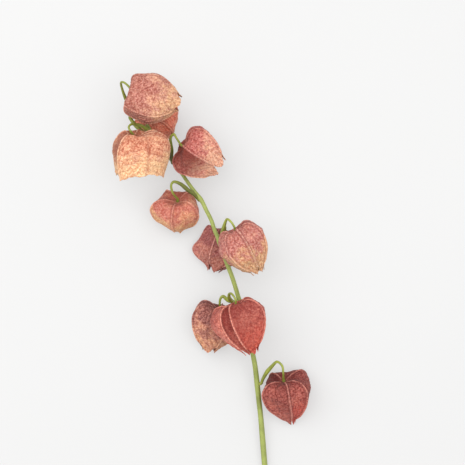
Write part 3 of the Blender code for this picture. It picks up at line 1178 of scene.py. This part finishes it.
@dataclass
class Lantern:
    """One husk with the stalk that carries it.

    Attributes:
        number: its place along the shoot, from the cut end.
        husk: the husk's sizes.
        stalk: the stalk's sizes.
        skin: the husk's finish.
    """

    number: int
    husk: Husk
    stalk: Stalk
    skin: PaperSkin

    def build(self, shoot: Array, shift: Array, effects: Effects, green: bpy.types.Material) -> None:
        """Make the husk and its stalk, dress them and set them in the frame.

        Args:
            shoot: the middle line of the shoot.
            shift: from this file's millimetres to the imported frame.
            effects: the shared node groups.
            green: the stalks' material.
        """
        node = f"husk_{self.number:02d}"
        surface = self.husk.surface()
        move = shift.copy()
        if self.husk.rests:
            low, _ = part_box(node)
            move[2] = low[2] / MM - surface.points[..., 2].min()
        piece = surface.build(f"papery_{node}", move)
        piece.data.materials.append(self.skin.make(f"{node}_paper", effects))
        wall = piece.modifiers.new("wall", "SOLIDIFY")
        wall.thickness = self.husk.wall * MM
        wall.offset = -1.0
        settle(piece, node)
        axis, _, _ = self.husk.frame()
        end = surface.points[0].mean(axis=0) + move - shift
        name = f"stalk_{self.number:02d}"
        root = shoot[np.linalg.norm(shoot - np.asarray(self.stalk.route[0]), axis=1).argmin()]
        twig = self.stalk.surface(end, axis, root).build(f"hooked_{name}", shift)
        twig.data.materials.append(green)
        settle(twig, name)


def settle(piece: bpy.types.Object, node: str) -> None:
    """Ride a piece on the stem, hide the CAD node it stands for and report it.

    Args:
        piece: the finished piece.
        node: the CAD node that it replaces.
    """
    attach(piece, "root")
    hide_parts(node)
    LOG.info("%s: %d vertices, replaces %s", piece.name, len(piece.data.vertices), node)


LANTERNS = (
    Lantern(
        1,
        Husk(base=(46.5, -134.5, 30.0), tip=(53.5, -174.0, 11.0), radius=24.0, length=46.0, dimple=3.5, mouth=3.0,
             ribs=(-66, 0, 41, 128, 214), notch=0.12, belly=0.14, squash=0.9, widen=1.08, shift=(0.0, 1.8),
             lean=1.0, rests=True, seed=11, glow=(0.1, 0.6, 1.0, 0.3, 0.3), sink=(0.0, 0.0, 0.9, 0.0, 1.0),
             fold_shade=(0.0, 0.0, 0.1, 0.3, 0.6), shade_tilt=(0.3, 0.0, -0.3, 0.0, 0.0)),
        Stalk(((26.0, -137.5, 16.0), (27.5, -133.5, 17.5), (31.0, -126.5, 23.0), (35.5, -120.5, 29.0),
               (40.0, -116.0, 34.0), (44.5, -119.5, 36.0), (45.5, -126.0, 35.0), (46.5, -133.5, 31.0))),
        PaperSkin(rose=tint(150, 70, 62), sand=tint(192, 108, 92), straw=tint(180, 92, 70), red_and_glow=tint(196, 42, 28),
                  ridge=tint(206, 140, 126), dark_and_shade=tint(84, 28, 26), age=0.55, crest_highlight=0.6, dry_from=0.9),
    ),
    Lantern(
        2,
        Husk(base=(4.0, -66.5, 58.0), tip=(17.0, -106.0, 54.0), radius=24.5, length=43.0, dimple=5.5, mouth=6.0,
             ribs=(-36, -14, 60, 130, 242), notch=0.16, belly=0.17, squash=0.92, widen=1.08, shift=(0.0, -1.8),
             puff=0.08, puff_end=0.14, seed=22, sink=(1.6, 0.0, 0.0, 0.0, 0.0), glow=(0.1, 0.55, 0.8, 0.2, 0.0),
             fold_shade=(0.68, 0.3, 0.0, 0.0, 0.0), shade_tilt=(0.0, -0.35, 0.0, 0.0, 0.0), fade=0.4),
        Stalk(((5.5, -62.5, 31.0), (1.5, -63.0, 36.0), (-2.5, -59.0, 44.0), (-3.0, -54.5, 52.0),
               (-0.5, -54.0, 59.0), (2.5, -58.5, 61.0), (4.0, -65.5, 58.5))),
        PaperSkin(rose=tint(172, 88, 78), sand=tint(216, 132, 114), straw=tint(222, 120, 94), red_and_glow=tint(222, 76, 56),
                  ridge=tint(222, 150, 132), dark_and_shade=tint(104, 30, 26), age=0.5, crest_highlight=0.7, pale_from=0.12, dry_from=0.7),
    ),
    Lantern(
        3,
        Husk(base=(-11.5, -71.0, 22.0), tip=(-21.0, -108.0, 14.0), radius=24.0, length=40.0, dimple=4.5, mouth=7.0,
             ribs=(-60, 30, 100, 170, 235), notch=0.15, squash=0.75, shift=(0.0, -2.0), rests=True, seed=33,
             fold_shade=(0.0, 0.2, 0.3, 0.4, 0.3), shade_tilt=(0.35, 0.0, 0.0, 0.0, 0.0)),
        Stalk(((4.5, -66.5, 27.0), (0.5, -62.5, 27.0), (-4.0, -61.0, 29.0), (-8.5, -57.5, 30.0),
               (-11.0, -60.0, 29.5), (-11.5, -65.5, 26.5), (-11.5, -70.5, 23.0))),
        PaperSkin(rose=tint(150, 88, 80), sand=tint(214, 150, 124), straw=tint(238, 180, 134), red_and_glow=tint(198, 88, 60),
                  ridge=tint(212, 160, 144), dark_and_shade=tint(84, 42, 42), age=0.65, crest_highlight=0.35, pale_from=0.25, dry_from=0.48),
    ),
    Lantern(
        4,
        Husk(base=(4.0, -1.5, 58.0), tip=(23.5, -36.0, 50.0), radius=24.0, length=40.0, dimple=6.0, mouth=6.0,
             ribs=(-36, 9, 58, 125, 225), notch=0.14, squash=0.85, widen=1.03, shift=(0.0, -0.5), seed=44,
             shade_tilt=(-0.1, 0.1, 0.3, 0.0, 0.0)),
        Stalk(((-10.5, -8.5, 38.5), (-10.0, -4.0, 41.0), (-7.5, 5.5, 51.0), (-5.0, 11.5, 59.0),
               (-1.5, 9.5, 63.0), (1.5, 5.0, 62.5), (4.0, -1.0, 59.0))),
        PaperSkin(rose=tint(186, 120, 110), sand=tint(208, 150, 122), straw=tint(224, 190, 138), red_and_glow=tint(206, 110, 74),
                  ridge=tint(220, 172, 156), dark_and_shade=tint(112, 54, 48), age=0.6, crest_highlight=0.35, pale_from=0.26, dry_from=0.4),
    ),
    Lantern(
        5,
        Husk(base=(-7.5, -0.5, 17.0), tip=(-18.0, -36.0, 12.0), radius=21.0, length=37.0, dimple=2.0, mouth=7.0,
             ribs=(-20, 35, 120, 190, 260), notch=0.2, squash=0.62, belly=0.48, rests=True, seed=55,
             knob=(262.0, 0.66, 4.0, 3.6), fold_shade=(0.3, 0.55, 0.3, 0.3, 0.0), shade_tilt=(0.0, 0.0, 0.0, 0.0, 0.45)),
        Stalk(((-12.0, -8.5, 34.0), (-10.5, -4.5, 29.5), (-8.0, 2.5, 25.5), (-6.5, 5.0, 21.0), (-7.5, 0.0, 17.5))),
        PaperSkin(rose=tint(168, 98, 96), sand=tint(212, 146, 126), straw=tint(210, 138, 118), red_and_glow=tint(180, 70, 62),
                  ridge=tint(212, 158, 146), dark_and_shade=tint(88, 38, 36), age=0.6, crest_highlight=0.35, pale_from=0.36, dry_from=0.7),
    ),
    Lantern(
        6,
        Husk(base=(-49.5, 28.0, 36.0), tip=(-50.0, 1.5, 8.0), radius=21.0, length=37.5, dimple=5.0, mouth=5.0,
             ribs=(-8, 62, 135, 208, 280), notch=0.24, squash=0.9, widen=1.12, shift=(1.5, -1.5), rests=True,
             seed=66, shade_tilt=(0.2, 0.4, 0.0, 0.0, 0.0), fold_shade=(0.0, 0.0, 0.35, 0.2, 0.0)),
        Stalk(((-30.0, 29.0, 34.0), (-34.5, 34.0, 38.0), (-40.0, 38.0, 41.0), (-46.0, 43.0, 44.0),
               (-52.0, 45.0, 46.0), (-54.5, 41.5, 46.0), (-53.0, 35.0, 42.0), (-49.5, 28.5, 37.0)), dark=0.9),
        PaperSkin(rose=tint(194, 118, 102), sand=tint(224, 166, 130), straw=tint(234, 192, 136), red_and_glow=tint(204, 108, 62),
                  ridge=tint(222, 168, 150), dark_and_shade=tint(138, 72, 58), age=0.5, crest_highlight=0.35, pale_from=0.04, dry_from=0.28),
    ),
    Lantern(
        7,
        Husk(base=(-43.0, 76.0, 48.0), tip=(-10.5, 56.5, 41.0), radius=24.0, length=38.0, dimple=3.0, mouth=10.0,
             ribs=(-10, 52, 118, 190, 275), notch=0.14, belly=0.16, squash=0.9, shift=(0.0, 2.5), seed=77,
             shade_tilt=(0.0, 0.0, 0.0, 0.0, 0.5), fold_shade=(0.0, 0.0, 0.0, 0.3, 0.45), fade=0.95),
        Stalk(((-54.0, 62.5, 34.5), (-54.5, 66.5, 37.0), (-54.5, 73.5, 42.0), (-55.0, 83.0, 47.0),
               (-52.0, 87.0, 50.0), (-49.5, 83.5, 51.0), (-43.5, 76.5, 48.5)), dark=1.0),
        PaperSkin(rose=tint(178, 98, 90), sand=tint(222, 164, 140), straw=tint(234, 190, 156), red_and_glow=tint(190, 92, 70),
                  ridge=tint(222, 164, 150), dark_and_shade=tint(106, 42, 32), age=0.55, crest_highlight=0.3, pale_from=0.3, dry_from=0.5),
    ),
    Lantern(
        8,
        Husk(base=(-86.5, 81.5, 67.0), tip=(-86.0, 49.0, 57.0), radius=26.5, length=34.5, dimple=6.0, mouth=22.0,
             ribs=(-44, 82, 135, 185, 245), notch=0.09, squash=0.75, shift=(0.0, 6.5), flare=True, puff=0.05,
             puff_end=0.05, seed=88, shade_tilt=(0.0, 0.0, 0.0, 0.0, 0.5), fold_shade=(0.0, 0.0, 0.0, 0.3, 0.3), fade=0.9,
             sink=(0.0, 0.0, 0.0, 0.0, 2.0)),
        Stalk(((-66.5, 77.5, 37.0), (-71.5, 87.0, 42.0), (-80.0, 94.0, 52.0), (-87.5, 94.5, 66.0),
               (-90.0, 91.5, 71.5), (-88.5, 88.0, 72.0), (-86.5, 82.0, 68.0))),
        PaperSkin(rose=tint(190, 120, 92), sand=tint(222, 172, 138), straw=tint(240, 206, 158), red_and_glow=tint(206, 110, 74),
                  ridge=tint(232, 192, 162), dark_and_shade=tint(120, 62, 46), age=0.62, crest_highlight=0.5, pale_from=0.06, dry_from=0.34),
    ),
    Lantern(
        9,
        Husk(base=(-73.5, 103.5, 27.0), tip=(-62.0, 91.0, 3.0), radius=21.5, length=29.0, dimple=4.0, mouth=8.0,
             ribs=(10, 82, 154, 226, 298), notch=0.12, squash=0.95, widen=1.03, shift=(2.0, 2.5), rests=True,
             seed=99, glow=(0.2, 0.9, 0.0, 0.0, 0.0)),
        Stalk(((-72.5, 88.0, 40.0), (-78.0, 88.5, 42.0), (-85.0, 94.0, 43.0), (-91.0, 101.5, 43.0),
               (-90.5, 103.0, 42.5), (-87.0, 102.0, 41.0), (-81.0, 101.0, 37.5), (-76.0, 103.5, 30.0)), dark=0.2),
        PaperSkin(rose=tint(212, 128, 102), sand=tint(238, 182, 150), straw=tint(216, 152, 112), red_and_glow=tint(190, 84, 62),
                  ridge=tint(224, 170, 148), dark_and_shade=tint(116, 50, 36), age=0.5, crest_highlight=0.3),
    ),
    Lantern(
        10,
        Husk(base=(-85.5, 124.5, 64.0), tip=(-45.5, 113.5, 61.0), radius=22.5, length=41.5, dimple=5.0, mouth=7.0,
             ribs=(-50, 62, 130, 200, 262), notch=0.09, shift=(0.0, -3.5), lean=-0.5, belly=0.38, puff=0.05,
             puff_end=0.1, seed=110, shade_tilt=(0.0, 0.2, 0.0, 0.0, 0.2)),
        Stalk(((-78.0, 100.0, 43.5), (-85.0, 106.5, 40.5), (-94.0, 117.0, 43.0), (-98.0, 130.0, 57.0),
               (-95.5, 131.5, 62.5), (-91.0, 128.0, 64.0), (-88.0, 124.5, 64.0)), dark=0.3),
        PaperSkin(rose=tint(172, 106, 94), sand=tint(220, 170, 142), straw=tint(226, 184, 138), red_and_glow=tint(206, 104, 76),
                  ridge=tint(228, 180, 158), dark_and_shade=tint(128, 72, 54), age=0.6, crest_highlight=0.35, pale_from=0.42, dry_from=0.66),
    ),
)

GREEN_SHOOT = ShootSkin(
    green=tint(132, 142, 70), light=tint(162, 170, 98), dark=tint(82, 84, 36), blush=tint(150, 98, 66),
    pith=tint(214, 206, 160), gloss=0.42,
)
GREEN_STALK = ShootSkin(
    green=tint(132, 140, 54), light=tint(158, 164, 74), dark=tint(58, 58, 20), blush=tint(130, 96, 52),
    pith=tint(200, 196, 150), gloss=0.4,
)


@dataclass
class Studio:
    """The camera, the soft lamps and the table.

    Attributes:
        eye: height of the camera over the table, in metres.
        lens: focal length for a 36 mm frame, in millimetres.
        key: power of the lamp over the upper left, in watts.
        fill: power of the lamp overhead, in watts.
        sky: brightness of the surroundings.
    """

    eye: float = 1.1925
    lens: float = 100.0
    key: float = 15.0
    fill: float = 15.0
    sky: float = 1.0

    def shoot(self, shift: Array) -> None:
        """Set up the camera straight over the stem, the lamps and the table.

        Args:
            shift: from this file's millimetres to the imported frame.
        """
        centre = Vector((shift[0] * MM, shift[1] * MM, 0.0))
        self._camera(centre)
        self._lamp("key_lamp", centre + Vector((-0.6, 0.4, 1.35)), centre, 1.3, self.key)
        self._lamp("fill_lamp", centre + Vector((0.35, 0.1, 1.6)), centre, 1.4, self.fill)
        self._world()
        self._table(centre)

    def _camera(self, centre: Vector) -> None:
        """Hang the camera over the stem, looking straight down with the tip of the stem up.

        Args:
            centre: the point of the table under the middle of the view.
        """
        data = bpy.data.cameras.new("overhead")
        data.lens = self.lens
        data.sensor_width = 36.0
        data.clip_start = 0.05
        made = bpy.data.objects.new("overhead", data)
        made.location = (centre.x, centre.y, self.eye)
        bpy.context.scene.collection.objects.link(made)
        bpy.context.scene.camera = made

    @staticmethod
    def _lamp(name: str, place: Vector, aim: Vector, size: float, power: float) -> None:
        """Hang a square soft lamp.

        Args:
            name: the lamp's name.
            place: where it hangs.
            aim: the point that it faces.
            size: its side, in metres.
            power: its power, in watts.
        """
        data = bpy.data.lights.new(name, "AREA")
        data.shape = "SQUARE"
        data.size = size
        data.energy = power
        made = bpy.data.objects.new(name, data)
        made.location = place
        made.rotation_euler = (aim - place).to_track_quat("-Z", "Y").to_euler()
        bpy.context.scene.collection.objects.link(made)

    def _world(self) -> None:
        """Surround the scene with an even pale light."""
        world = bpy.data.worlds.new("pale_room")
        world.use_nodes = True
        shade = world.node_tree.nodes["Background"]
        shade.inputs["Color"].default_value = (1.0, 1.0, 1.0, 1.0)
        shade.inputs["Strength"].default_value = self.sky
        bpy.context.scene.world = world

    @staticmethod
    def _table(centre: Vector) -> None:
        """Lay the table: a wide flat sheet at the height of the stem's lowest point.

        Args:
            centre: the middle of the table.
        """
        side = np.linspace(-3.0, 3.0, 13)
        x, y = np.meshgrid(side + centre.x, side + centre.y)
        spots = np.stack((x, y, np.zeros_like(x)), axis=-1).reshape(-1, 3)
        cell = (np.arange(12)[:, None] * 13 + np.arange(12)[None, :]).ravel()
        quads = np.stack((cell, cell + 1, cell + 14, cell + 13), axis=1)
        mesh = bpy.data.meshes.new("table")
        mesh.from_pydata(spots.tolist(), [], quads.tolist())
        mesh.materials.append(TableTop(white=(0.27, 0.27, 0.268), lift=0.42).make("pale_table"))
        made = bpy.data.objects.new("table", mesh)
        bpy.context.scene.collection.objects.link(made)


def main() -> None:
    """Build the shoot, the lanterns and the studio, and note the size of the result."""
    logging.basicConfig(level=logging.INFO, format="%(message)s")
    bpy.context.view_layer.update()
    bpy.context.scene.view_settings.view_transform = "Standard"
    effects = Effects()
    stem = MainStem(path=STEM_PATH, joints=tuple(lantern.stalk.route[0] for lantern in LANTERNS))
    stem.place()
    piece = stem.surface().build("green_main_stem", stem.shift)
    piece.data.materials.append(GREEN_SHOOT.make("green_shoot", effects))
    settle(piece, "main_stem")
    green = GREEN_STALK.make("green_stalk", effects)
    for lantern in LANTERNS:
        lantern.build(stem.line(stem.stations), stem.shift, effects, green)
    Studio().shoot(stem.shift)


if __name__ == "__main__":
    main()
